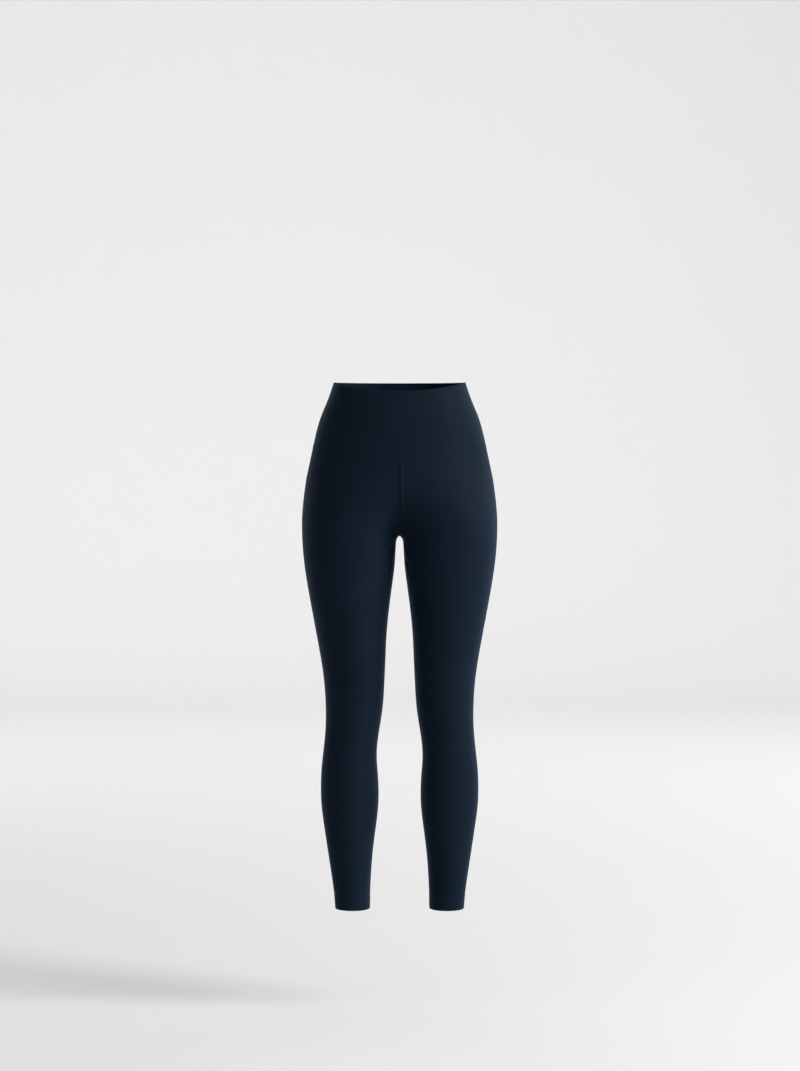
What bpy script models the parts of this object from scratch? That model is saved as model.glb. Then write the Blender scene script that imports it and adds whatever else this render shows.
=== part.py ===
# High-waisted ankle-length leggings in stretch cloth, in the open hollow form they have when worn.
# Metres, +Z up, the front faces -Y, so the wearer's left leg is at +X. The origin is the centre of
# the waist opening, where the wearer's waist holds them. All named sizes and tables below are in
# millimetres.

import functools
import math

import bmesh
import bpy
import numpy as np

MM = 0.001

# Cloth and seams.
LEG_WALL = 1.2
HEM_WALL = 2.0  # the hem is turned up inside, so it is two layers thick
BAND_WALL = 1.8  # the waistband is cut double
SEAM_GAP = 0.3  # left between two pieces where they are sewn
HEM_DEPTH = 24.0
HEM_HEIGHT = -951.0

# The waistband's top edge dips in the middle of the front.
FRONT_DIP = 17.0

# Across the middle the two legs meet in a rounded valley.
CROTCH_HEIGHT = -275.0
OUTER_SQUARENESS = 2.15  # exponent of the outer half of each section: 2 is an ellipse

# One row for each level section of the left leg's tube, which is at +X. outer and inner are
# distances from the middle plane, front and back are depths. Above the crotch the tube reaches past
# the middle, where it is cut, until at the hips it is one even ring. rounding is the valley's radius
# at the middle, and square the exponent of the inner half.
SECTIONS = {
    "height": (0, -30, -65, -105, -140, -175, -210, -230, -250, -275, -284, -300, -320, -355, -390,
               -430, -465, -500, -535, -570, -610, -645, -680, -715, -750, -790, -825, -860,
               -895, -930, -951),
    "outer": (118, 128, 143, 153.5, 161, 168.5, 173, 175, 176, 175.7, 175.3, 174.2, 172.3, 167.4, 161.3,
              153.8, 147.4, 141, 136, 133.4, 132.6, 135.3, 139.4, 142.4, 142.6, 138.4, 133, 127.8,
              122.3, 117.8, 116),
    "inner": (-118, -128, -143, -153.5, -161, -105, -45, -15, 3, 12, 13.5, 14.3, 14.8, 16, 18.8,
              22.2, 24.8, 25.9, 27.8, 29.3, 34.2, 40.6, 42.4, 38.9, 38, 41.5, 46.5, 50.4,
              52.8, 54.2, 54.5),
    "rounding": (0, 0, 0, 0, 0, 7, 14, 15, 14, 12, 12, 12, 12, 10, 7,
                 3, 0, 0, 0, 0, 0, 0, 0, 0, 0, 0, 0, 0,
                 0, 0, 0),
    "front": (-86, -89, -94, -99, -102, -104, -105, -104.5, -103, -101, -100, -98.5, -97, -94, -90.5,
              -86, -81.5, -76.5, -71, -66, -61, -56, -51.5, -48, -45.5, -42, -38, -34,
              -30, -26.5, -25),
    "back": (84, 88, 95, 104, 112, 119, 122, 121, 118, 110, 106.5, 101, 95.5, 90, 86,
             81.5, 77, 72, 66, 59.5, 53, 53.5, 61, 68.5, 71.5, 69, 63, 57,
             52.5, 50, 49.5),
    "square": (2.15, 2.15, 2.15, 2.15, 2.15, 2.4, 2.7, 2.85, 2.9, 2.9, 2.9, 2.8, 2.7, 2.5, 2.3,
               2.2, 2.15, 2.15, 2.15, 2.15, 2.15, 2.15, 2.15, 2.15, 2.15, 2.15, 2.15, 2.15,
               2.15, 2.15, 2.15),
}

# The seam under the waistband: its height, by the turn from the middle of the front (0 degrees)
# to the middle of the back (180).
BAND_SEAM = {
    "turn": (0, 12, 25, 40, 57, 75, 95, 120, 180),
    "height": (-142, -141.5, -139, -127.5, -118, -112.5, -110, -109, -110),
}

# The side seam: how far it lies behind the widest point of the section at each height. It starts
# on the front of the hip and swings back to the side.
SIDE_SEAM = {
    "height": (-110, -143, -162, -185, -230, -400, -948),
    "behind": (-60, -40, -17, 5, 14, 12, 8),
}

# Levels of the rows of faces down a leg, at its outer side.
LEG_ROWS = (
    {"top": -126, "bottom": -200, "steps": 4},
    {"top": -200, "bottom": -350, "steps": 16},
    {"top": -350, "bottom": -926, "steps": 21},
    {"top": -926, "bottom": -928, "steps": 1},
    {"top": -928, "bottom": -951, "steps": 1},
)
ROWS_LEVEL_BELOW = -200.0  # above this the rows turn to follow the waistband's seam
# Towards the inner side the rows crowd together at the crotch, where the cloth turns under.
CROWD_REACH = 75.0
CROWD_POWER = 0.8
CROWD_FADE = 5
LEG_COLUMNS = 14  # columns of faces across one panel
BAND_ROWS = 6
BAND_SIDE_COLUMN = 3  # the waistband's side seam is this many columns behind the leg's own seam

EVEN_REACH = 60
EVEN_STEP = 10
LOOP_POINTS = 720  # points of the finely drawn section from which rows are spaced
GRADIENT_STEP = 0.01

CLOTH_COLOUR = (0.012, 0.020, 0.034, 1.0)
BAND_COLOUR = (0.013, 0.022, 0.037, 1.0)


def clear_scene():
    for item in list(bpy.data.objects):
        bpy.data.objects.remove(item, do_unlink=True)


def curve_slopes(places, values):
    """Slopes of a smooth curve through a table's rows that never swings past them."""
    steps = np.diff(places)
    rises = np.diff(values) / steps
    slopes = np.zeros(len(places))
    slopes[0], slopes[-1] = rises[0], rises[-1]
    for k in range(1, len(places) - 1):
        if rises[k - 1] * rises[k] > 0:
            near, far = 2 * steps[k] + steps[k - 1], steps[k] + 2 * steps[k - 1]
            slopes[k] = (near + far) / (near / rises[k - 1] + far / rises[k])
    return slopes


def make_reader(table, key):
    """A function of the key column for each other column of a table."""
    order = np.argsort(table[key])
    places = np.array(table[key], float)[order]
    columns = {}
    for name, numbers in table.items():
        if name != key:
            values = np.array(numbers, float)[order]
            columns[name] = (values, curve_slopes(places, values))

    def read(name, place):
        values, slopes = columns[name]
        at = np.clip(place, places[0], places[-1])
        k = np.clip(np.searchsorted(places, at) - 1, 0, len(places) - 2)
        step = places[k + 1] - places[k]
        u = (at - places[k]) / step
        return (
            (2 * u**3 - 3 * u**2 + 1) * values[k]
            + (u**3 - 2 * u**2 + u) * step * slopes[k]
            + (3 * u**2 - 2 * u**3) * values[k + 1]
            + (u**3 - u**2) * step * slopes[k + 1]
        )

    return read


section_value = make_reader(SECTIONS, "height")
band_seam_value = make_reader(BAND_SEAM, "turn")
side_seam_value = make_reader(SIDE_SEAM, "height")


@functools.lru_cache(maxsize=None)
def section_at(height):
    """The sizes of the leg tube at one height."""
    section = {name: float(section_value(name, height)) for name in SECTIONS if name != "height"}
    outer = math.hypot(section["outer"], section["rounding"])
    section["centre_x"] = (outer + section["inner"]) / 2
    section["centre_y"] = (section["front"] + section["back"]) / 2
    section["half_width"] = (outer - section["inner"]) / 2
    section["half_depth"] = (section["back"] - section["front"]) / 2
    return section


@functools.lru_cache(maxsize=None)
def loop_at(height):
    """The left leg's section as a fine line, from the inner side round by the front, the outer
    side and the back, with what lies past the middle plane cut away."""
    section = section_at(height)
    angle = np.linspace(0, 2 * math.pi, LOOP_POINTS + 1)
    cosine, sine = np.cos(angle), np.sin(angle)
    power = 2 / np.where(cosine > 0, section["square"], OUTER_SQUARENESS)
    across = section["centre_x"] - section["half_width"] * np.sign(cosine) * abs(cosine) ** power
    depth = section["centre_y"] - section["half_depth"] * np.sign(sine) * abs(sine) ** power
    rounding = section["rounding"]
    cut = math.hypot(rounding, SEAM_GAP / 2)
    kept = np.flatnonzero(across >= cut)
    line = np.stack([np.sqrt(np.maximum(across**2 - rounding**2, 0)), depth], axis=1)[kept]
    if kept[0] > 0:
        start = (SEAM_GAP / 2, crossing(across, depth, kept[0], cut))
        end = (SEAM_GAP / 2, crossing(across, depth, kept[-1] + 1, cut))
        line = np.concatenate([[start], line, [end]])
    return section, line, lengths_along(line)


def crossing(across, depth, index, cut):
    """The depth at which the section reaches this distance from the middle plane."""
    share = (cut - across[index - 1]) / (across[index] - across[index - 1])
    return depth[index - 1] + share * (depth[index] - depth[index - 1])


def lengths_along(line):
    return np.concatenate([[0], np.cumsum(np.linalg.norm(np.diff(line, axis=0), axis=1))])


@functools.lru_cache(maxsize=None)
def seam_and_width(height, panel):
    """Where the side seam lies along the section at one height, and the panel's width from it."""
    section, line, along = loop_at(height)
    first, last = int(line[:, 1].argmin()), int(line[:, 1].argmax())
    seam_depth = section["centre_y"] + float(side_seam_value("behind", height))
    seam = float(np.interp(seam_depth, line[first : last + 1, 1], along[first : last + 1]))
    half = SEAM_GAP / 2
    if panel == "front":
        edge = np.interp(section["centre_y"] - half, line[first::-1, 1], along[first::-1])
    else:
        edge = np.interp(section["centre_y"] + half, line[: last - 1 : -1, 1], along[: last - 1 : -1])
    return seam, abs(seam - float(edge)) - half


@functools.lru_cache(maxsize=None)
def even_width(height, panel):
    """The panel's width with its quick change at the crotch evened out, which spaces its columns."""
    heights = [height + offset for offset in range(-EVEN_REACH, EVEN_REACH + 1, EVEN_STEP)]
    return sum(seam_and_width(at, panel)[1] for at in heights) / len(heights)


def panel_point(height, panel, share):
    """The point at this share of the way from the panel's inner side to the side seam."""
    section, line, along = loop_at(height)
    seam, width = seam_and_width(height, panel)
    even = even_width(height, panel)
    distance = SEAM_GAP / 2 + even * (1 - share) - (even - width) * (1 - share) ** 3
    at = seam - distance if panel == "front" else seam + distance
    return float(np.interp(at, along, line[:, 0])), float(np.interp(at, along, line[:, 1]))


def turn_of(height, x, y):
    """Degrees round the body from the middle of the front, as seen from above."""
    section = section_at(height)
    forward = (section["centre_y"] - y) / section["half_depth"]
    return math.degrees(math.atan2(x / section["outer"], forward))


def point_at_turn(height, turn):
    section, line, along = loop_at(height)
    forward = (section["centre_y"] - line[:, 1]) / section["half_depth"]
    turns = np.degrees(np.arctan2(line[:, 0] / section["outer"], forward))
    return np.interp(turn, turns, line[:, 0]), np.interp(turn, turns, line[:, 1])


def surface_value(x, y, height):
    """Zero on the cloth's outer face, more outside it and less inside."""
    section = section_at(height)
    across = math.hypot(x, section["rounding"]) - section["centre_x"]
    power = section["square"] if across < 0 else OUTER_SQUARENESS
    width_share = abs(across) / section["half_width"]
    depth_share = abs(y - section["centre_y"]) / section["half_depth"]
    return width_share**power + depth_share**power - 1


def inward(x, y, height, wall):
    """The point of the inner face behind a point of the outer face."""
    step = GRADIENT_STEP
    slope = np.array([
        surface_value(x + step, y, height) - surface_value(x - step, y, height),
        surface_value(x, y + step, height) - surface_value(x, y - step, height),
        surface_value(x, y, height + step) - surface_value(x, y, height - step),
    ])
    normal = slope / np.linalg.norm(slope)
    return np.array([x, y, height]) - wall * normal


def leg_levels():
    levels = [LEG_ROWS[0]["top"]]
    for run in LEG_ROWS:
        fall = (run["bottom"] - run["top"]) / run["steps"]
        levels += [run["top"] + fall * k for k in range(1, run["steps"] + 1)]
    return levels


def crowd_to_crotch(level, share):
    """The height of a row at this share of the way from the inner side to the side seam."""
    offset = level - CROTCH_HEIGHT
    nearness = min(abs(offset) / CROWD_REACH, 1)
    return CROTCH_HEIGHT + offset * nearness ** (CROWD_POWER * (1 - share) ** CROWD_FADE)


def follow_band(level, turn):
    """The height of a row at this turn: level low down, along the waistband's seam at the top."""
    share = (level - ROWS_LEVEL_BELOW) / (LEG_ROWS[0]["top"] - ROWS_LEVEL_BELOW)
    share = min(max(share, 0), 1)
    ease = share * share * (3 - 2 * share)
    return level + ease * (float(band_seam_value("height", turn)) - LEG_ROWS[0]["top"])


def leg_row(level, panel):
    """The points of one row across a leg panel, on its outer face."""
    points = []
    for k in range(LEG_COLUMNS + 1):
        share = (k if panel == "front" else LEG_COLUMNS - k) / LEG_COLUMNS
        height = crowd_to_crotch(level, share)
        x, y = panel_point(height, panel, share)
        if level > ROWS_LEVEL_BELOW:
            for _ in range(4):
                height = follow_band(level, turn_of(height, x, y))
                x, y = panel_point(height, panel, share)
        points.append((x, y, height))
    return points


def leg_panel(panel):
    """Rows of outer and inner points of a left leg panel, from the waistband down."""
    outer_rows, inner_rows = [], []
    for k, level in enumerate(leg_levels()):
        wall = HEM_WALL if level < HEM_HEIGHT + HEM_DEPTH - 1 else LEG_WALL
        row = leg_row(level, panel)
        if k == 0:
            row = [(x, y, height - SEAM_GAP / 2) for x, y, height in row]
        outer_rows.append(np.array(row))
        inner_rows.append(np.array([inward(x, y, height, wall) for x, y, height in row]))
    return outer_rows, inner_rows


def band_turns():
    """The turns of the waistband's columns, which carry on those of the legs below it."""
    top = LEG_ROWS[0]["top"]
    front = [turn_of(height, x, y) for x, y, height in leg_row(top, "front")]
    back = [turn_of(height, x, y) for x, y, height in leg_row(top, "back")]
    turns = [0.0] + front[1:-1] + [(front[-1] + back[0]) / 2] + back[1:-1] + [180.0]
    return turns, LEG_COLUMNS + BAND_SIDE_COLUMN


def top_edge(turn):
    return -FRONT_DIP * math.cos(math.radians(min(turn, 90))) ** 2


def band_panel(panel):
    """Rows of outer and inner points of a waistband piece, from its top edge down."""
    turns, side = band_turns()
    turns = turns[: side + 1] if panel == "front" else turns[side:]
    outer_rows, inner_rows = [], []
    for k in range(BAND_ROWS + 1):
        outer, inner = [], []
        for index, turn in enumerate(turns):
            low = float(band_seam_value("height", turn)) + SEAM_GAP / 2
            height = top_edge(turn) + (low - top_edge(turn)) * k / BAND_ROWS
            x, y = point_at_turn(height, turn)
            point, behind = np.array([x, y, height]), inward(x, y, height, BAND_WALL)
            if panel == "front" and index == len(turns) - 1:
                point[1] -= SEAM_GAP / 2
                behind[1] -= SEAM_GAP / 2
            if panel == "back" and index == 0:
                point[1] += SEAM_GAP / 2
                behind[1] += SEAM_GAP / 2
            outer.append(point)
            inner.append(behind)
        if panel == "front":
            outer_rows.append(np.array(across_middle(outer, first=True)))
            inner_rows.append(np.array(across_middle(inner, first=True)))
        else:
            outer_rows.append(np.array(across_middle(outer, first=False)))
            inner_rows.append(np.array(across_middle(inner, first=False)))
    return outer_rows, inner_rows


def across_middle(points, first):
    """A row carried on over the middle plane, whose own point is the first or the last."""
    mirrored = [point * (-1, 1, 1) for point in points]
    if first:
        return mirrored[:0:-1] + points
    return points + mirrored[-2::-1]


def mirrored_rows(rows):
    return [row[::-1] * (-1, 1, 1) for row in rows]


def split_cell(vertices, a, b, c, d):
    """The two triangles of a cell, cut along its shorter diagonal, as indices of its corners."""
    across = (vertices[a].co - vertices[c].co).length
    down = (vertices[b].co - vertices[d].co).length
    return ((0, 1, 2), (0, 2, 3)) if across <= down else ((0, 1, 3), (1, 2, 3))


def build_wall(name, outer_rows, inner_rows, material):
    """A closed wall between two grids of points, rows from the top and columns to the right."""
    mesh = bpy.data.meshes.new(name)
    body = bmesh.new()
    rows, columns = len(outer_rows), len(outer_rows[0])
    for grid in (outer_rows, inner_rows):
        for row in grid:
            for point in row:
                body.verts.new([float(value) * MM for value in point])
    body.verts.ensure_lookup_table()
    layer = rows * columns

    def index(row, column):
        return row * columns + column

    def add(corners):
        body.faces.new([body.verts[corner] for corner in corners])

    for row in range(rows - 1):
        for column in range(columns - 1):
            cell = (index(row, column), index(row + 1, column),
                    index(row + 1, column + 1), index(row, column + 1))
            for triangle in split_cell(body.verts, *cell):
                add([cell[corner] for corner in triangle])
                add([cell[corner] + layer for corner in reversed(triangle)])
    for column in range(columns - 1):
        add_rim(add, index(0, column), index(0, column + 1), layer)
        add_rim(add, index(rows - 1, column + 1), index(rows - 1, column), layer)
    for row in range(rows - 1):
        add_rim(add, index(row + 1, 0), index(row, 0), layer)
        add_rim(add, index(row, columns - 1), index(row + 1, columns - 1), layer)
    bmesh.ops.recalc_face_normals(body, faces=body.faces)
    body.to_mesh(mesh)
    body.free()
    mesh.materials.append(material)
    mesh.shade_smooth()
    mesh.set_sharp_from_angle(angle=math.radians(50))
    item = bpy.data.objects.new(name, mesh)
    bpy.context.scene.collection.objects.link(item)
    return item


def add_rim(add, start, end, layer):
    """The edge of the cloth between two neighbouring points, from its outer to its inner face."""
    add((start, end, end + layer))
    add((start, end + layer, start + layer))


def make_material(name, colour, roughness):
    material = bpy.data.materials.new(name)
    material.use_nodes = True
    shader = material.node_tree.nodes["Principled BSDF"]
    shader.inputs["Base Color"].default_value = colour
    shader.inputs["Roughness"].default_value = roughness
    shader.inputs["Metallic"].default_value = 0.0
    return material


def build_leggings():
    clear_scene()
    leg_cloth = make_material("leg_jersey", CLOTH_COLOUR, 0.62)
    band_cloth = make_material("band_jersey", BAND_COLOUR, 0.60)
    for panel in ("front", "back"):
        outer_rows, inner_rows = leg_panel(panel)
        build_wall(f"leg_left_{panel}", outer_rows, inner_rows, leg_cloth)
        build_wall(f"leg_right_{panel}", mirrored_rows(outer_rows), mirrored_rows(inner_rows), leg_cloth)
        build_wall(f"waistband_{panel}", *band_panel(panel), band_cloth)


build_leggings()
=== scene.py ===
# High-waisted leggings in dark stretch jersey: cloth shells with their seams, hems and stitching.
# Metres, +Z up. The front faces -Y and the waist opening's centre is the origin.

import math

import bpy
import numpy as np
from mathutils import Matrix, Vector
from mathutils.bvhtree import BVHTree
from mathutils.kdtree import KDTree


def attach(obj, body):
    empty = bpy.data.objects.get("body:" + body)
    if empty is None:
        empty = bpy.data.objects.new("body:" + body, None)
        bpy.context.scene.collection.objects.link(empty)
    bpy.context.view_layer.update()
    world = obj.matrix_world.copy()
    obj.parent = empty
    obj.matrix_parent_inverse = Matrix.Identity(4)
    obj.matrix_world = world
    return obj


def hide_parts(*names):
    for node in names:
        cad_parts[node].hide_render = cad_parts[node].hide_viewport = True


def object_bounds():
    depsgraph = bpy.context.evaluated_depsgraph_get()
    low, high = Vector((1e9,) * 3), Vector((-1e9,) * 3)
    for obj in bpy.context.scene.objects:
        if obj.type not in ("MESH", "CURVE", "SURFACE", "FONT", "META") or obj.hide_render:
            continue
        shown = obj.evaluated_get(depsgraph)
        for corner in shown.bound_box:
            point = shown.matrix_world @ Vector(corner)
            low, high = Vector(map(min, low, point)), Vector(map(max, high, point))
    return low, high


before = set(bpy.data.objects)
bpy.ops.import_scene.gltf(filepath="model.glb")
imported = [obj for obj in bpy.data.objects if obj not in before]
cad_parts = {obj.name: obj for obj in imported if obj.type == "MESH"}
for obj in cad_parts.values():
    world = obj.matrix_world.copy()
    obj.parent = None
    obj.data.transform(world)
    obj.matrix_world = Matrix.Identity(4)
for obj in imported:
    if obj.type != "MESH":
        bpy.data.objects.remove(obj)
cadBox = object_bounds()
mm = 0.001

# The cut pieces. faces is the side along y that the outer face looks to, and wall is in millimetres. flat is
# the cut's width and length in metres before it is stretched on, and area its flat area, both of what
# shows: without allowances, the hem's turn-up or the band's inner layer.
bandCloth = {"slot": "band_jersey", "wall": 1.8}
legCloth = {"slot": "leg_jersey", "wall": 1.2}
pieces = {
    "waistband_front": {**bandCloth, "faces": -1, "flat": (0.34, 0.150), "area": 0.0365},
    "waistband_back": {**bandCloth, "faces": 1, "flat": (0.37, 0.133), "area": 0.0365},
    "leg_left_front": {**legCloth, "faces": -1, "flat": (0.285, 0.80), "area": 0.1435},
    "leg_left_back": {**legCloth, "faces": 1, "flat": (0.325, 0.835), "area": 0.1390},
    "leg_right_front": {**legCloth, "faces": -1, "flat": (0.285, 0.80), "area": 0.1435},
    "leg_right_back": {**legCloth, "faces": 1, "flat": (0.325, 0.835), "area": 0.1390},
}
pieceNames = list(pieces)


def deselectAll():
    if bpy.context.object and bpy.context.object.mode != "OBJECT":
        bpy.ops.object.mode_set(mode="OBJECT")
    bpy.ops.object.select_all(action="DESELECT")


def pick(item):
    deselectAll()
    item.select_set(True)
    bpy.context.view_layer.objects.active = item


def applyModifier(item, kind, **settings):
    pick(item)
    modifier = item.modifiers.new(kind.lower(), kind)
    for name, value in settings.items():
        setattr(modifier, name, value)
    bpy.ops.object.modifier_apply(modifier=modifier.name)


def pointsOf(mesh):
    points = np.zeros(len(mesh.vertices) * 3)
    mesh.vertices.foreach_get("co", points)
    return points.reshape(-1, 3)


def normalsOf(mesh):
    normals = np.zeros(len(mesh.vertices) * 3)
    mesh.vertex_normals.foreach_get("vector", normals)
    return normals.reshape(-1, 3)


def putPoints(mesh, points):
    mesh.vertices.foreach_set("co", points.ravel())
    mesh.update()


def smoothStep(low, high, value):
    share = np.clip((value - low) / (high - low), 0, 1)
    return share * share * (3 - 2 * share)


# The skin: the outer faces of all the pieces, sewn into one surface. Angles are in degrees.
skinMake = {
    "doubles": 0.02 * mm,  # loose triangles' corners nearer than this are one
    "outward": 0.8,  # how squarely a face looks forward or back to be the first one picked
    "foldAngle": 42,  # the cloth's cut edges turn more sharply than its faces
    "quadFold": 60,  # two triangles become a quad up to this fold
    "quadShape": 100,  # and up to this much out of square
    "quadFollow": 1.5,  # and sooner where the quads beside them line up
    "mergeGap": 0.45 * mm,  # a little over the gap left between two pieces at a seam
    "openEdge": 40 * mm,  # the waist and the hems lie within this of the top and the bottom
    "cutMargin": 0.01,  # left between the pieces laid out flat
    "levels": 3,
    "fullness": 0.45 * mm,  # what smoothing takes off the girth is put back
}


def outerSheet(name):
    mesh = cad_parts[name].data.copy()
    sheet = bpy.data.objects.new(name + "_sheet", mesh)
    bpy.context.scene.collection.objects.link(sheet)
    mesh.materials.clear()
    mesh.materials.append(bpy.data.materials.new("cut_" + name))
    pick(sheet)
    bpy.ops.object.mode_set(mode="EDIT")
    bpy.ops.mesh.select_all(action="SELECT")
    bpy.ops.mesh.remove_doubles(threshold=skinMake["doubles"])
    bpy.ops.mesh.select_all(action="DESELECT")
    bpy.ops.mesh.select_mode(type="FACE")
    bpy.ops.object.mode_set(mode="OBJECT")
    faces = pieces[name]["faces"]
    outward = [face for face in mesh.polygons if face.normal.y * faces > skinMake["outward"]]
    max(outward, key=lambda face: face.center.y * faces).select = True
    bpy.ops.object.mode_set(mode="EDIT")
    bpy.ops.mesh.faces_select_linked_flat(sharpness=math.radians(skinMake["foldAngle"]))
    bpy.ops.mesh.select_all(action="INVERT")
    bpy.ops.mesh.delete(type="FACE")
    bpy.ops.mesh.select_all(action="SELECT")
    bpy.ops.mesh.tris_convert_to_quads(
        face_threshold=math.radians(skinMake["quadFold"]),
        shape_threshold=math.radians(skinMake["quadShape"]),
        topology_influence=skinMake["quadFollow"],
    )
    bpy.ops.object.mode_set(mode="OBJECT")
    triangles = sum(len(face.vertices) == 3 for face in mesh.polygons)
    print("sheet", name, len(mesh.polygons), "faces", triangles, "triangles")
    return sheet


# The cloth turns too sharply under the fork for its last corners to be picked with the rest, so the gap
# left there is closed and shared out among the four leg pieces.
def closeFork(skin):
    bpy.ops.mesh.select_mode(type="VERT")
    bpy.ops.mesh.select_all(action="DESELECT")
    bpy.ops.mesh.select_non_manifold(
        use_wire=False, use_multi_face=False, use_non_contiguous=False, use_verts=False
    )
    bpy.ops.object.mode_set(mode="OBJECT")
    top, bottom = cadBox[1].z - skinMake["openEdge"], cadBox[0].z + skinMake["openEdge"]
    corners = [v.index for v in skin.data.vertices if v.select and bottom < v.co.z < top]
    middle = sum((skin.data.vertices[k].co for k in corners), Vector()) / len(corners)
    bpy.ops.object.mode_set(mode="EDIT")
    bpy.ops.mesh.select_all(action="DESELECT")
    bpy.ops.object.mode_set(mode="OBJECT")
    for k in corners:
        skin.data.vertices[k].select = True
    bpy.ops.object.mode_set(mode="EDIT")
    bpy.ops.mesh.edge_face_add()
    bpy.ops.mesh.poke()
    bpy.ops.object.mode_set(mode="OBJECT")
    for face in skin.data.polygons:
        if face.select:
            side = "left" if face.center.x > middle.x else "right"
            half = "front" if face.center.y < middle.y else "back"
            face.material_index = pieceNames.index("leg_" + side + "_" + half)
    print("fork closed with", sum(face.select for face in skin.data.polygons), "faces")


def sewSkin():
    sheets = [outerSheet(name) for name in pieces]
    deselectAll()
    for sheet in sheets:
        sheet.select_set(True)
    bpy.context.view_layer.objects.active = sheets[0]
    bpy.ops.object.join()
    skin = sheets[0]
    skin.name = "skin"
    bpy.ops.object.mode_set(mode="EDIT")
    bpy.ops.mesh.select_all(action="SELECT")
    bpy.ops.mesh.remove_doubles(threshold=skinMake["mergeGap"])
    closeFork(skin)
    markSeams(skin.data)
    bpy.ops.object.mode_set(mode="EDIT")
    bpy.ops.mesh.select_all(action="SELECT")
    bpy.ops.uv.unwrap(method="ANGLE_BASED", margin=skinMake["cutMargin"])
    bpy.ops.object.mode_set(mode="OBJECT")
    levels = skinMake["levels"]
    applyModifier(skin, "SUBSURF", levels=levels, render_levels=levels, boundary_smooth="ALL")
    points, normals = pointsOf(skin.data), normalsOf(skin.data)
    putPoints(skin.data, points + normals * skinMake["fullness"])
    return skin


# A seam runs wherever two faces cut from different pieces meet.
def markSeams(mesh):
    piecesAt = {}
    for face in mesh.polygons:
        for key in face.edge_keys:
            piecesAt.setdefault(key, set()).add(face.material_index)
    for edge in mesh.edges:
        edge.use_seam = len(piecesAt[edge.key]) > 1


skin = sewSkin()
print("skin sewn:", len(skin.data.polygons), "faces")


# The seams' relief. height is how far the allowances inside lift the cloth, over reach from the seam line,
# on the piece that they are pressed to, and fall is how wide their edge is; groove is the depth of the line
# itself. All in millimetres.
seamStyles = {
    "waistband": {"pressedTo": "leg", "height": 0.45, "reach": 7.0, "fall": 2.4, "groove": 0.20},
    "centre": {"pressedTo": "left", "height": 1.15, "reach": 6.6, "fall": 2.0, "groove": 0.10},
    "inseam": {"pressedTo": "back", "height": 0.35, "reach": 6.0, "fall": 2.4, "groove": 0.15},
    "side": {"pressedTo": "back", "height": 0.35, "reach": 6.5, "fall": 2.4, "groove": 0.15},
    "bandSide": {"pressedTo": "back", "height": 0.25, "reach": 6.0, "fall": 2.4, "groove": 0.15},
}
seamStep = {"from": 0.2, "to": 1.4, "line": 0.8}  # over which the lift sets in; the groove's half width
forkFade = {"from": 4 * mm, "to": 24 * mm}  # the relief dies away where the four leg pieces meet
legMiddle = 85 * mm  # a leg's seams nearer the middle than this are its inseam
gather = {"reach": 10 * mm, "power": 1.5}  # points near a seam draw in to it, to shape its relief


def piecesTouched(mesh):
    corners = np.zeros(len(mesh.loops), int)
    mesh.loops.foreach_get("vertex_index", corners)
    counts = np.zeros(len(mesh.polygons), int)
    mesh.polygons.foreach_get("loop_total", counts)
    slots = np.zeros(len(mesh.polygons), int)
    mesh.polygons.foreach_get("material_index", slots)
    touched = np.zeros((len(mesh.vertices), len(pieceNames)), bool)
    touched[corners, np.repeat(slots, counts)] = True
    return touched


def seamKind(names, point):
    if any("leg" in name for name in names) and any("waistband" in name for name in names):
        return "waistband"
    if any("waistband" in name for name in names):
        return "bandSide"
    if any("left" in name for name in names) and any("right" in name for name in names):
        return "centre"
    return "inseam" if abs(point[0]) < legMiddle else "side"


def nearestSeam(points, touched):
    onSeam = np.flatnonzero(touched.sum(axis=1) > 1)
    tree = KDTree(len(onSeam))
    for place, vertex in enumerate(onSeam):
        tree.insert(points[vertex], place)
    tree.balance()
    found = [tree.find(point)[1:] for point in points]
    nearest = onSeam[[place for place, _ in found]]
    distance = np.array([length for _, length in found])
    kinds = {}
    for vertex in onSeam:
        names = [pieceNames[k] for k in np.flatnonzero(touched[vertex])]
        kinds[vertex] = seamKind(names, points[vertex])
    return nearest, distance, kinds


def shapeSeams(mesh):
    points = pointsOf(mesh)
    touched = piecesTouched(mesh)
    nearest, distance, kinds = nearestSeam(points, touched)
    near = (distance > 0) & (distance < gather["reach"])
    drawnIn = gather["reach"] * (distance[near] / gather["reach"]) ** gather["power"]
    points[near] = points[nearest[near]] + (points[near] - points[nearest[near]]) * (
        drawnIn / distance[near]
    )[:, None]
    distance[near] = drawnIn
    putPoints(mesh, points)
    normals = normalsOf(mesh)
    owner = touched.argmax(axis=1)
    fork = points[touched.sum(axis=1) == 4].mean(axis=0)
    fade = smoothStep(forkFade["from"], forkFade["to"], np.linalg.norm(points - fork, axis=1))
    rise = np.zeros(len(points))
    for kind, style in seamStyles.items():
        ofKind = np.array([kinds[vertex] == kind for vertex in nearest])
        pressed = np.array([style["pressedTo"] in name for name in pieceNames])[owner]
        away = distance / mm
        edge = smoothStep(style["reach"] - style["fall"], style["reach"], away)
        raised = smoothStep(seamStep["from"], seamStep["to"], away) * (1 - edge)
        line = np.exp(-((away / seamStep["line"]) ** 2))
        rise += ofKind * (style["height"] * raised * pressed - style["groove"] * line) * mm
    putPoints(mesh, points + normals * (rise * fade)[:, None])


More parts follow.
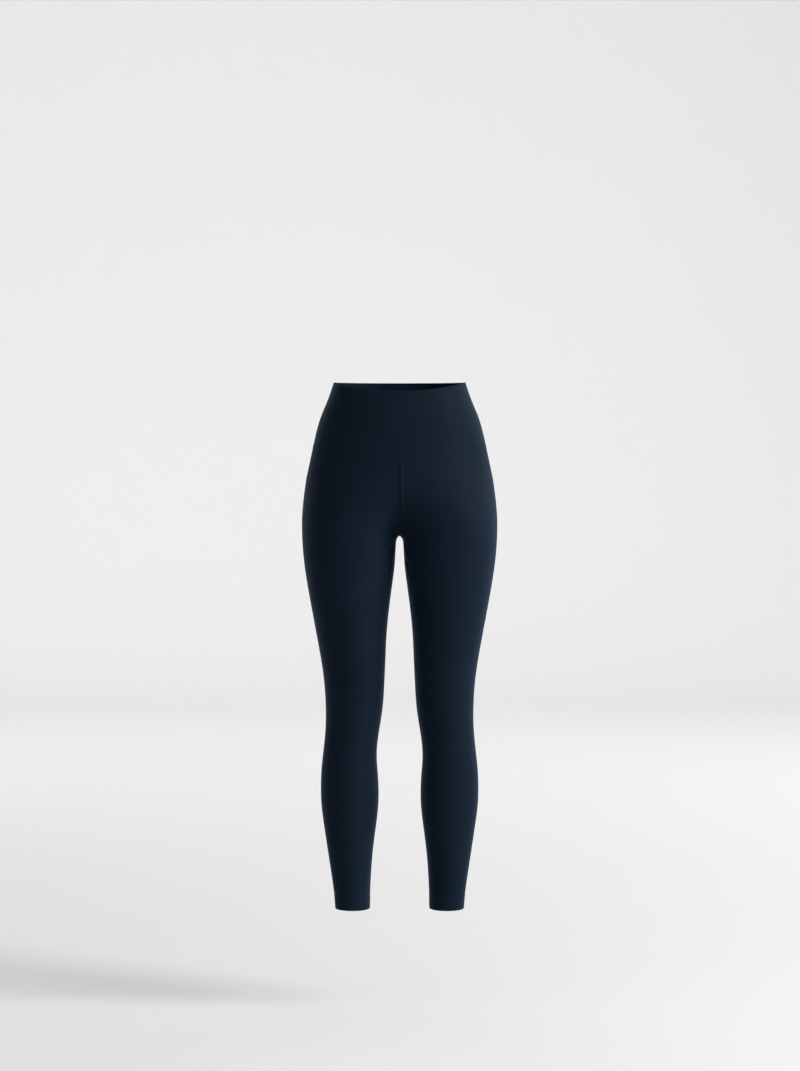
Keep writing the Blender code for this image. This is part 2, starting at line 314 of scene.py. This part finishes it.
# The hems: cloth turned up inside and held by two rows of stitches.
hem = {
    "bottom": cadBox[0].z,
    "depth": 24 * mm,
    "wall": 2.0,  # millimetres, both layers
    "lift": 0.35 * mm,  # the second layer stands the hem out by this much
    "liftBelow": 0.5 * mm,  # the lift starts this far below the turned-up edge
    "liftAbove": 1.5 * mm,  # and has died away this far above it
    "rows": (21.5 * mm, 16.5 * mm),  # heights of the two stitch rows above the bottom edge
    "dent": 0.22 * mm,  # how deep a row draws the cloth in
    "dentWidth": 1.2 * mm,
    "points": 120,  # of the line that a row follows
}


def shapeHems(mesh):
    points, normals = pointsOf(mesh), normalsOf(mesh)
    height = points[:, 2] - hem["bottom"]
    low, high = hem["depth"] - hem["liftBelow"], hem["depth"] + hem["liftAbove"]
    rise = hem["lift"] * (1 - smoothStep(low, high, height))
    for row in hem["rows"]:
        rise -= hem["dent"] * np.exp(-(((height - row) / hem["dentWidth"]) ** 2))
    putPoints(mesh, points + normals * rise[:, None])


# Soft creases, each a line across a leg. turns are its ends, in degrees from the front round to the outside.
# The rest is in millimetres: height is its middle's, and fall is how far its second end lies below that.
creases = [
    # behind the knee
    {"leg": 1, "turns": (128, 232), "height": -596, "fall": 5, "width": 7.0, "depth": 1.7},
    {"leg": 1, "turns": (140, 214), "height": -618, "fall": -4, "width": 6.0, "depth": 1.2},
    {"leg": 1, "turns": (150, 240), "height": -575, "fall": 9, "width": 6.5, "depth": 0.9},
    {"leg": -1, "turns": (132, 226), "height": -600, "fall": -4, "width": 7.0, "depth": 1.5},
    {"leg": -1, "turns": (146, 236), "height": -581, "fall": 7, "width": 6.0, "depth": 1.0},
    {"leg": -1, "turns": (136, 206), "height": -624, "fall": 3, "width": 6.5, "depth": 1.0},
    # over the knee
    {"leg": 1, "turns": (-52, 34), "height": -566, "fall": -6, "width": 10.0, "depth": 0.8},
    {"leg": 1, "turns": (-30, 58), "height": -641, "fall": 8, "width": 9.0, "depth": 0.9},
    {"leg": -1, "turns": (-48, 40), "height": -572, "fall": 5, "width": 10.0, "depth": 0.8},
    {"leg": -1, "turns": (-36, 50), "height": -648, "fall": -5, "width": 9.0, "depth": 0.9},
    # from the fork down into the thigh
    {"leg": 1, "turns": (-80, -28), "height": -296, "fall": 26, "width": 8.0, "depth": 1.0},
    {"leg": 1, "turns": (-76, -40), "height": -322, "fall": 18, "width": 7.0, "depth": 0.6},
    {"leg": -1, "turns": (-80, -24), "height": -300, "fall": 28, "width": 8.5, "depth": 1.0},
    {"leg": 1, "turns": (205, 262), "height": -300, "fall": -20, "width": 8.0, "depth": 1.2},
    {"leg": -1, "turns": (200, 258), "height": -306, "fall": -24, "width": 8.0, "depth": 1.2},
    # under the seat
    {"leg": 1, "turns": (150, 214), "height": -262, "fall": 6, "width": 11.0, "depth": 1.0},
    {"leg": -1, "turns": (148, 210), "height": -266, "fall": 5, "width": 11.0, "depth": 1.0},
    # above the ankle
    {"leg": 1, "turns": (-40, 46), "height": -893, "fall": 5, "width": 6.0, "depth": 0.8},
    {"leg": -1, "turns": (-28, 62), "height": -888, "fall": -6, "width": 6.0, "depth": 0.8},
    {"leg": 1, "turns": (130, 220), "height": -880, "fall": -5, "width": 6.5, "depth": 0.8},
    {"leg": -1, "turns": (142, 232), "height": -886, "fall": 6, "width": 6.5, "depth": 0.8},
]
creaseShape = {
    "steps": 48,  # places tried along the line
    "reach": 3,  # widths
    "taper": 1.2,  # how soon it dies away towards its ends
    "ridge": 0.45,  # the swell beside the trough, as a share of its depth
    "ridgeAt": 1.9,  # widths
}
slipTurns = (0, 0.3, -0.3, 0.7, -0.7)  # degrees
legAxisDepth = {"height": (-951, -700, -560, -275, -110), "y": (12, 12, -2, 5, -2)}


def legCentre(leg, height):
    depth = np.interp(height, legAxisDepth["height"], legAxisDepth["y"])
    return Vector((leg * legMiddle, depth * mm, height * mm))


# The point of the cloth at this turn round a leg. A ray can slip out between two faces, so its
# neighbours are tried too.
def onLeg(tree, leg, turn, height):
    centre = legCentre(leg, height)
    for slip in slipTurns:
        angle = math.radians(turn + slip)
        outward = Vector((leg * math.sin(angle), -math.cos(angle), 0))
        place = tree.ray_cast(centre, outward)[0]
        if place is not None:
            return place
    return tree.find_nearest(centre)[0]


def shapeCreases(mesh):
    points, normals = pointsOf(mesh), normalsOf(mesh)
    rise = np.zeros(len(points))
    for crease in creases:
        width = crease["width"] * mm
        reach = abs(crease["fall"]) + creaseShape["reach"] * crease["width"]
        near = abs(points[:, 2] / mm - crease["height"]) < reach
        near &= points[:, 0] * crease["leg"] > 0
        best = np.full(near.sum(), np.inf)
        share = np.zeros(near.sum())
        for step in range(creaseShape["steps"] + 1):
            along = step / creaseShape["steps"]
            turn = crease["turns"][0] + (crease["turns"][1] - crease["turns"][0]) * along
            height = crease["height"] - crease["fall"] * (along - 0.5) * 2
            place = onLeg(plainTree, crease["leg"], turn, height)
            distance = np.linalg.norm(points[near] - np.array(place), axis=1)
            closer = distance < best
            best[closer], share[closer] = distance[closer], along
        taper = np.sin(math.pi * share) ** creaseShape["taper"]
        trough = np.exp(-((best / width) ** 2))
        ridge = np.exp(-(((best - creaseShape["ridgeAt"] * width) / width) ** 2))
        rise[near] -= crease["depth"] * mm * taper * (trough - creaseShape["ridge"] * ridge)
    putPoints(mesh, points + normals * rise[:, None])


def treeOf(mesh):
    corners = [Vector(point) for point in pointsOf(mesh)]
    return BVHTree.FromPolygons(corners, [face.vertices[:] for face in mesh.polygons])


plainTree = treeOf(skin.data)  # before any relief, so that its normals are even beside a seam
shapeSeams(skin.data)
shapeHems(skin.data)
shapeCreases(skin.data)
print("seams, hems and creases shaped")
skinPoints = pointsOf(skin.data)
skinTree = treeOf(skin.data)
skinTouched = piecesTouched(skin.data)


# Jersey: fine knitted wales and courses, soft mottling and a cool bloom at grazing angles.
jersey = {
    "wales": 2300,  # to the metre, across the cut
    "courses": 2900,  # to the metre, along it
    "relief": 0.05 * mm,
    "bump": 0.35,
    "waleShare": 0.7,  # of the relief; the courses have the rest
    "mottle": {"Scale": 9.0, "Detail": 4.0, "Roughness": 0.6},
    "nap": {"Scale": 900.0, "Detail": 2.0, "Roughness": 0.7},
    "napShare": 0.35,
    "darkAt": 0.4,
    "lightAt": 0.95,
    "dark": (0.0038, 0.0081, 0.0137, 1),
    "light": (0.0052, 0.0102, 0.0177, 1),
    "specular": 0.015,
    "sheen": 0.11,
    "sheenRoughness": 0.38,
    "sheenTint": (0.26, 0.48, 1.0, 1.0),
    "legRoughness": 0.60,
    "bandRoughness": 0.58,
}


def addNode(tree, kind, **inputs):
    node = tree.nodes.new(kind)
    for name, value in inputs.items():
        node.inputs[name].default_value = value
    return node


def addMath(tree, operation, first, second=None):
    node = tree.nodes.new("ShaderNodeMath")
    node.operation = operation
    for socket, value in zip(node.inputs, (first, second)):
        if value is None:
            continue
        if isinstance(value, (int, float)):
            socket.default_value = value
        else:
            tree.links.new(value, socket)
    return node.outputs[0]


def makeJersey(name, roughness):
    material = bpy.data.materials.new(name)
    material.use_nodes = True
    tree = material.node_tree
    shader = tree.nodes["Principled BSDF"]
    place = addNode(tree, "ShaderNodeTexCoord")
    mottle = addNode(tree, "ShaderNodeTexNoise", **jersey["mottle"])
    tree.links.new(place.outputs["Object"], mottle.inputs["Vector"])
    nap = addNode(tree, "ShaderNodeTexNoise", **jersey["nap"])
    tree.links.new(place.outputs["Object"], nap.inputs["Vector"])
    fleck = addMath(tree, "MULTIPLY_ADD", nap.outputs["Fac"], jersey["napShare"])
    tree.links.new(mottle.outputs["Fac"], fleck.node.inputs[2])
    ramp = tree.nodes.new("ShaderNodeValToRGB")
    for stop, shade in zip(ramp.color_ramp.elements, ("dark", "light")):
        stop.position, stop.color = jersey[shade + "At"], jersey[shade]
    tree.links.new(fleck, ramp.inputs["Fac"])
    tree.links.new(ramp.outputs["Color"], shader.inputs["Base Color"])
    uv = addNode(tree, "ShaderNodeUVMap")
    uv.uv_map = "cut"
    split = addNode(tree, "ShaderNodeSeparateXYZ")
    tree.links.new(uv.outputs["UV"], split.inputs[0])
    across = addMath(tree, "MULTIPLY", split.outputs[0], jersey["wales"] * math.pi)
    along = addMath(tree, "MULTIPLY", split.outputs[1], jersey["courses"] * math.pi)
    wale = addMath(tree, "ABSOLUTE", addMath(tree, "SINE", across))
    course = addMath(tree, "ABSOLUTE", addMath(tree, "SINE", addMath(tree, "ADD", along, across)))
    loops = addMath(tree, "MULTIPLY_ADD", wale, jersey["waleShare"])
    courses = addMath(tree, "MULTIPLY", course, 1 - jersey["waleShare"])
    tree.links.new(courses, loops.node.inputs[2])
    bump = addNode(tree, "ShaderNodeBump", Strength=jersey["bump"], Distance=jersey["relief"])
    tree.links.new(loops, bump.inputs["Height"])
    tree.links.new(bump.outputs["Normal"], shader.inputs["Normal"])
    shader.inputs["Roughness"].default_value = roughness
    shader.inputs["Specular IOR Level"].default_value = jersey["specular"]
    shader.inputs["Sheen Weight"].default_value = jersey["sheen"]
    shader.inputs["Sheen Roughness"].default_value = jersey["sheenRoughness"]
    shader.inputs["Sheen Tint"].default_value = jersey["sheenTint"]
    return material


clothOf = {
    "leg_jersey": makeJersey("leg_knit", jersey["legRoughness"]),
    "band_jersey": makeJersey("band_knit", jersey["bandRoughness"]),
}

# The sewing thread, a little lighter than the cloth.
threadLook = {
    "dark": (0.0050, 0.0096, 0.0160, 1),
    "light": (0.0085, 0.0145, 0.0235, 1),
    "ply": {"Scale": 1400.0, "Detail": 2.0},
    "roughness": 0.65,
    "specular": 0.12,
}


def makeThread():
    material = bpy.data.materials.new("navy_thread")
    material.use_nodes = True
    tree = material.node_tree
    shader = tree.nodes["Principled BSDF"]
    place = addNode(tree, "ShaderNodeTexCoord")
    ply = addNode(tree, "ShaderNodeTexNoise", **threadLook["ply"])
    tree.links.new(place.outputs["Object"], ply.inputs["Vector"])
    ramp = tree.nodes.new("ShaderNodeValToRGB")
    ramp.color_ramp.elements[0].color = threadLook["dark"]
    ramp.color_ramp.elements[1].color = threadLook["light"]
    tree.links.new(ply.outputs["Fac"], ramp.inputs["Fac"])
    tree.links.new(ramp.outputs["Color"], shader.inputs["Base Color"])
    shader.inputs["Roughness"].default_value = threadLook["roughness"]
    shader.inputs["Specular IOR Level"].default_value = threadLook["specular"]
    return material


thread = makeThread()

# Stitches: one short thread modelled once, then laid along each row.
stitch = {
    "length": 2.3 * mm,
    "pitch": 3.0 * mm,
    "thickness": 0.36 * mm,
    "sides": 6,
    "bendAt": 0.3,  # of its length, to each side of its middle
    "endThickness": 0.55,  # of its thickness
    "clear": 0.02 * mm,  # its middle stands this far off the cloth
    "beside": 5.2 * mm,  # how far a row lies from its seam line, on the raised side
    "evening": 6,  # how often the line that a row follows is evened out
    "lineEnds": 20 * mm,  # a gap longer than this ends such a line
}
# The rows of stitches each lie beside one of the seams or hems; the seam lines are followed from these
# points.
frontTop, backTop = (0, -0.1, -0.142), (0, 0.11, -0.11)  # near where the centre seams meet the waistband


def modelStitch():
    deselectAll()
    bpy.ops.mesh.primitive_cylinder_add(
        vertices=stitch["sides"], radius=stitch["thickness"] / 2, depth=stitch["length"],
        rotation=(0, math.radians(90), 0),
    )
    item = bpy.context.object
    bpy.ops.object.transform_apply(rotation=True)
    bpy.ops.object.mode_set(mode="EDIT")
    for side in (-1, 1):
        bpy.ops.mesh.select_all(action="SELECT")
        bend = side * stitch["length"] * stitch["bendAt"]
        bpy.ops.mesh.bisect(plane_co=(bend, 0, 0), plane_no=(1, 0, 0))
    bpy.ops.object.mode_set(mode="OBJECT")
    thin = stitch["endThickness"]
    pastBend = stitch["length"] * (stitch["bendAt"] + 0.5) / 2
    for vertex in item.data.vertices:
        if abs(vertex.co.x) > pastBend:  # both ends thin out and dip into the cloth
            vertex.co.y *= thin
            vertex.co.z = vertex.co.z * thin - stitch["thickness"] * thin
    bpy.ops.object.shade_smooth()
    item.data.materials.append(thread)
    return item


def stitchRow(name, template, places):
    copies = []
    for point, along, outward in places:
        copy = bpy.data.objects.new(name, template.data.copy())
        bpy.context.scene.collection.objects.link(copy)
        across = outward.cross(along).normalized()
        turn = Matrix((along, across, outward)).transposed().to_4x4()
        copy.matrix_world = Matrix.Translation(point + outward * stitch["clear"]) @ turn
        copies.append(copy)
    deselectAll()
    for copy in copies:
        copy.select_set(True)
    bpy.context.view_layer.objects.active = copies[0]
    bpy.ops.object.join()
    row = copies[0]
    row.name = name
    bpy.ops.object.transform_apply(location=True, rotation=True, scale=True)
    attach(row, "root")
    return row


# Evenly spaced places along a line, moved off it by offset towards a side, and each settled on the cloth.
def placesAlong(line, offset=0.0, towards=(0, 0, -1), closed=False):
    pitch = stitch["pitch"]
    points = [Vector(p) for p in line]
    if closed:
        points.append(points[0])
    lengths = [0.0]
    for a, b in zip(points, points[1:]):
        lengths.append(lengths[-1] + (b - a).length)
    count = max(1, round(lengths[-1] / pitch))
    coordinates = np.array([p[:] for p in points])
    places = []
    for k in range(count):
        at = (k + 0.5) * lengths[-1] / count
        here, ahead, behind = (
            Vector([np.interp(at + shift, lengths, coordinates[:, axis]) for axis in range(3)])
            for shift in (0, 2 * pitch, -2 * pitch)
        )
        along = (ahead - behind).normalized()
        outward = plainTree.find_nearest(here)[1]
        side = outward.cross(along).normalized()
        if side.dot(Vector(towards)) < 0:
            side.negate()
        settled = skinTree.find_nearest(here + side * offset)[0]
        outward = plainTree.find_nearest(settled)[1]
        along = (along - outward * along.dot(outward)).normalized()
        places.append((settled, along, outward))
    return places


def hemLine(leg, height):
    turn = 360 / hem["points"]
    return [onLeg(skinTree, leg, step * turn, height / mm) for step in range(hem["points"])]


# The seam's own points that lie between two groups of pieces, in order from one end.
def seamLine(first, second, start):
    one = [k for k, name in enumerate(pieceNames) if first in name]
    two = [k for k, name in enumerate(pieceNames) if second in name]
    onBoth = skinTouched[:, one].any(axis=1) & skinTouched[:, two].any(axis=1)
    left = [Vector(p) for p in skinPoints[onBoth]]
    here = min(left, key=lambda p: (p - Vector(start)).length)
    line = [here]
    left.remove(here)
    while left:
        following = min(left, key=lambda p: (p - here).length)
        if (following - here).length > stitch["lineEnds"]:
            break
        left.remove(following)
        line.append(following)
        here = following
    for _ in range(stitch["evening"]):
        middle = [(a + b * 2 + c) / 4 for a, b, c in zip(line, line[1:], line[2:])]
        line = [line[0], *middle, line[-1]]
    return line


template = modelStitch()
for leg, side in ((1, "left"), (-1, "right")):
    rows = []
    for row in hem["rows"]:
        rows += placesAlong(hemLine(leg, hem["bottom"] + row), closed=True)
    stitchRow("hem_stitches_" + side, template, rows)
bandLine = seamLine("waistband", "leg", frontTop)
bandPlaces = placesAlong(bandLine, stitch["beside"], towards=(0, 0, -1), closed=True)
stitchRow("waistband_stitches", template, bandPlaces)
for half, top in (("front", frontTop), ("back", backTop)):
    name = "centre_" + half + "_stitches"
    line = seamLine("leg_left_" + half, "leg_right_" + half, top)
    places = placesAlong(line, stitch["beside"], towards=(1, 0, 0))
    stitchRow(name, template, places)
bpy.data.objects.remove(template)


# The cut pieces: the skin parted at its seams, each given its cloth's thickness.
edgeRound = {
    "width": 0.5 * mm,
    "segments": 2,
    "level": 0.7,  # how squarely a rim's face looks up or down to be the waist's or a hem's
    "smooth": 50,  # degrees; folds up to this are shaded as one
}


# The piece's own map is turned upright and brought to metres, so that the knit runs up the leg at its size.
def measureCut(item):
    mesh = item.data
    layer = mesh.uv_layers[0]
    layer.name = "cut"
    flat = np.zeros(len(mesh.loops) * 2)
    layer.uv.foreach_get("vector", flat)
    flat = flat.reshape(-1, 2)
    corners = np.zeros(len(mesh.loops), int)
    mesh.loops.foreach_get("vertex_index", corners)
    points = pointsOf(mesh)[corners]
    fit = np.linalg.lstsq(np.column_stack([flat, np.ones(len(flat))]), points[:, 2], rcond=None)[0]
    up = fit[:2] / np.linalg.norm(fit[:2])
    flat = np.column_stack([flat @ np.array((up[1], -up[0])), flat @ up])
    quads = flat.reshape(-1, 4, 2)
    ahead, aside = quads[:, 2] - quads[:, 0], quads[:, 3] - quads[:, 1]
    flatArea = abs(ahead[:, 0] * aside[:, 1] - ahead[:, 1] * aside[:, 0]).sum() / 2
    worn = sum(face.area for face in mesh.polygons)
    flat *= math.sqrt(worn / flatArea)
    flat -= flat.min(axis=0)
    layer.uv.foreach_set("vector", flat.ravel())
    return flat.max(axis=0), worn


def partPieces(skin):
    pick(skin)
    bpy.ops.object.mode_set(mode="EDIT")
    bpy.ops.mesh.select_all(action="SELECT")
    bpy.ops.mesh.separate(type="MATERIAL")
    bpy.ops.object.mode_set(mode="OBJECT")
    parts = {}
    for item in list(bpy.context.selected_objects):
        used = item.data.materials[item.data.polygons[0].material_index].name
        name = used.replace("cut_", "")
        item.name = name + "_cloth"
        parts[name] = item
    return parts


# Only the waist's and the hems' edges are rounded: at a seam two pieces meet edge to edge. Solidify puts the
# rim's faces after those of both shells, and each inner point as far behind its outer one.
def markOpenEdges(mesh, shellFaces, outerPoints):
    top, bottom = cadBox[1].z - skinMake["openEdge"], cadBox[0].z + skinMake["openEdge"]
    rim = set()
    for face in mesh.polygons[shellFaces:]:
        if abs(face.normal.z) > edgeRound["level"] and not bottom < face.center.z < top:
            rim.update(face.edge_keys)
    weights = mesh.attributes.new("bevel_weight_edge", "FLOAT", "EDGE")
    for edge in mesh.edges:
        start, end = edge.vertices
        if edge.key in rim and (start < outerPoints) == (end < outerPoints):
            weights.data[edge.index].value = 1.0


def finishPiece(name, item):
    size, worn = measureCut(item)
    facts = pieces[name]
    print(name, "worn", [round(float(v), 3) for v in size], "m, area", round(worn, 4))
    item.data.materials.clear()
    item.data.materials.append(clothOf[facts["slot"]])
    for face in item.data.polygons:
        face.material_index = 0
    layers = item.vertex_groups.new(name="thickness")
    inHem = pointsOf(item.data)[:, 2] - hem["bottom"] < hem["depth"]
    layers.add([int(k) for k in np.flatnonzero(~inHem)], facts["wall"] / hem["wall"], "REPLACE")
    if inHem.any():
        layers.add([int(k) for k in np.flatnonzero(inHem)], 1.0, "REPLACE")
    shellFaces, outerPoints = 2 * len(item.data.polygons), len(item.data.vertices)
    applyModifier(
        item, "SOLIDIFY", thickness=hem["wall"] * mm, offset=-1, use_even_offset=False, use_rim=True,
        vertex_group="thickness",
    )
    markOpenEdges(item.data, shellFaces, outerPoints)
    applyModifier(
        item, "BEVEL", width=edgeRound["width"], segments=edgeRound["segments"], limit_method="WEIGHT"
    )
    pick(item)
    bpy.ops.object.shade_smooth_by_angle(angle=math.radians(edgeRound["smooth"]))
    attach(item, "root")
    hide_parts(name)
    return item


cloths = {name: finishPiece(name, item) for name, item in partPieces(skin).items()}
print("pieces cut and finished")


# Pale studio floor and back wall in one sweep of paper, in metres. The paper is toned a little deeper where
# it lies flat, so that floor and wall look alike in this light.
studio = {
    "floor": -1.135,
    "reach": 7.0,
    "wall": 7.0,
    "bend": 1.2,
    "bendSteps": 12,
    "floorTone": 0.60,
    "wallTone": 0.89,
    "toneFrom": 0.3,  # behind the origin, and as far before the bend, the tone changes
    "roughness": 0.85,
    "atEdge": 0.01,  # what lies nearer than this to an edge is on it
}


def makePaper():
    material = bpy.data.materials.new("pale_sweep")
    material.use_nodes = True
    tree = material.node_tree
    shader = tree.nodes["Principled BSDF"]
    place = addNode(tree, "ShaderNodeTexCoord")
    split = addNode(tree, "ShaderNodeSeparateXYZ")
    tree.links.new(place.outputs["Object"], split.inputs[0])
    tone = tree.nodes.new("ShaderNodeMapRange")
    tone.interpolation_type = "SMOOTHSTEP"
    tone.inputs["From Min"].default_value = studio["toneFrom"]
    tone.inputs["From Max"].default_value = studio["reach"] - studio["bend"] - studio["toneFrom"]
    tone.inputs["To Min"].default_value = studio["floorTone"]
    tone.inputs["To Max"].default_value = studio["wallTone"]
    tree.links.new(split.outputs[1], tone.inputs["Value"])
    tree.links.new(tone.outputs[0], shader.inputs["Base Color"])
    shader.inputs["Roughness"].default_value = studio["roughness"]
    return material


def makeStudio():
    deselectAll()
    bpy.ops.mesh.primitive_plane_add(size=studio["reach"] * 2, location=(0, 0, studio["floor"]))
    floor = bpy.context.object
    floor.name = "studio_sweep"
    bpy.ops.object.transform_apply(location=True)
    bpy.ops.object.mode_set(mode="EDIT")
    bpy.ops.mesh.select_all(action="DESELECT")
    bpy.ops.mesh.select_mode(type="EDGE")
    bpy.ops.object.mode_set(mode="OBJECT")
    for edge in floor.data.edges:
        ends = [floor.data.vertices[k].co.y for k in edge.vertices]
        edge.select = min(ends) > studio["reach"] - studio["atEdge"]
    bpy.ops.object.mode_set(mode="EDIT")
    bpy.ops.mesh.extrude_region_move(TRANSFORM_OT_translate={"value": (0, 0, studio["wall"])})
    bpy.ops.mesh.select_all(action="DESELECT")
    bpy.ops.object.mode_set(mode="OBJECT")
    for edge in floor.data.edges:
        ends = [floor.data.vertices[k].co for k in edge.vertices]
        far = all(end.y > studio["reach"] - studio["atEdge"] for end in ends)
        low = all(abs(end.z - studio["floor"]) < studio["atEdge"] for end in ends)
        edge.select = far and low
    bpy.ops.object.mode_set(mode="EDIT")
    bpy.ops.mesh.bevel(offset=studio["bend"], segments=studio["bendSteps"], affect="EDGES")
    bpy.ops.object.mode_set(mode="OBJECT")
    bpy.ops.object.shade_smooth()
    floor.data.materials.append(makePaper())


makeStudio()

# Light: bright air all round that is stronger on the right, one big soft box there and two weak ones behind.
# Where the camera looks past the paper's front edge, from behind, the air shows the paper's own pale grey.
air = {"left": 0.43, "right": 1.06, "colour": (1.0, 1.0, 0.998), "seen": 0.50}
softBoxes = [
    {"name": "key", "place": (5.8, -2.2, 2.0), "size": (3.0, 2.6), "power": 228, "spread": 110},
    {"name": "rear_right", "place": (4.0, 3.7, 0.9), "size": (1.2, 2.4), "power": 34, "spread": 150},
    {"name": "rear_left", "place": (-3.6, 4.2, 0.9), "size": (1.2, 2.4), "power": 16, "spread": 150},
]
boxAim = Vector((0, 0, -0.5))


def makeSoftBoxes():
    for box in softBoxes:
        data = bpy.data.lights.new(box["name"], "AREA")
        data.shape = "RECTANGLE"
        data.size, data.size_y = box["size"]
        data.energy = box["power"]
        data.spread = math.radians(box["spread"])
        lamp = bpy.data.objects.new(box["name"], data)
        bpy.context.scene.collection.objects.link(lamp)
        lamp.location = box["place"]
        lamp.rotation_euler = (boxAim - lamp.location).to_track_quat("-Z", "Y").to_euler()


def makeAir():
    world = bpy.data.worlds.new("studio_air")
    bpy.context.scene.world = world
    world.use_nodes = True
    tree = world.node_tree
    background = tree.nodes["Background"]
    background.inputs["Color"].default_value = (*air["colour"], 1)
    direction = addNode(tree, "ShaderNodeTexCoord")
    split = addNode(tree, "ShaderNodeSeparateXYZ")
    tree.links.new(direction.outputs["Generated"], split.inputs[0])
    middle, slope = (air["right"] + air["left"]) / 2, (air["right"] - air["left"]) / 2
    strength = addMath(tree, "MULTIPLY_ADD", split.outputs[0], slope)
    strength.node.inputs[2].default_value = middle
    seen = addNode(tree, "ShaderNodeLightPath").outputs["Is Camera Ray"]
    unseen = addMath(tree, "SUBTRACT", 1.0, seen)
    lit = addMath(tree, "MULTIPLY", strength, unseen)
    shown = addMath(tree, "MULTIPLY", seen, air["seen"])
    tree.links.new(addMath(tree, "ADD", lit, shown), background.inputs["Strength"])


makeSoftBoxes()
makeAir()

# The camera stands 5 m in front at waist height and looks a little down. down is in degrees, lens and sensor
# in millimetres.
view = {"place": (0.0007, -5.0, -0.1035), "down": 1.969, "lens": 93.4, "sensor": 36}


def makeCamera():
    data = bpy.data.cameras.new("camera")
    data.lens = view["lens"]
    data.sensor_width = view["sensor"]
    camera = bpy.data.objects.new("camera", data)
    bpy.context.scene.collection.objects.link(camera)
    camera.location = view["place"]
    camera.rotation_euler = (math.radians(90 - view["down"]), 0, 0)
    bpy.context.scene.camera = camera


makeCamera()
bpy.context.scene.view_settings.view_transform = "Standard"
print("studio, lights and camera set")
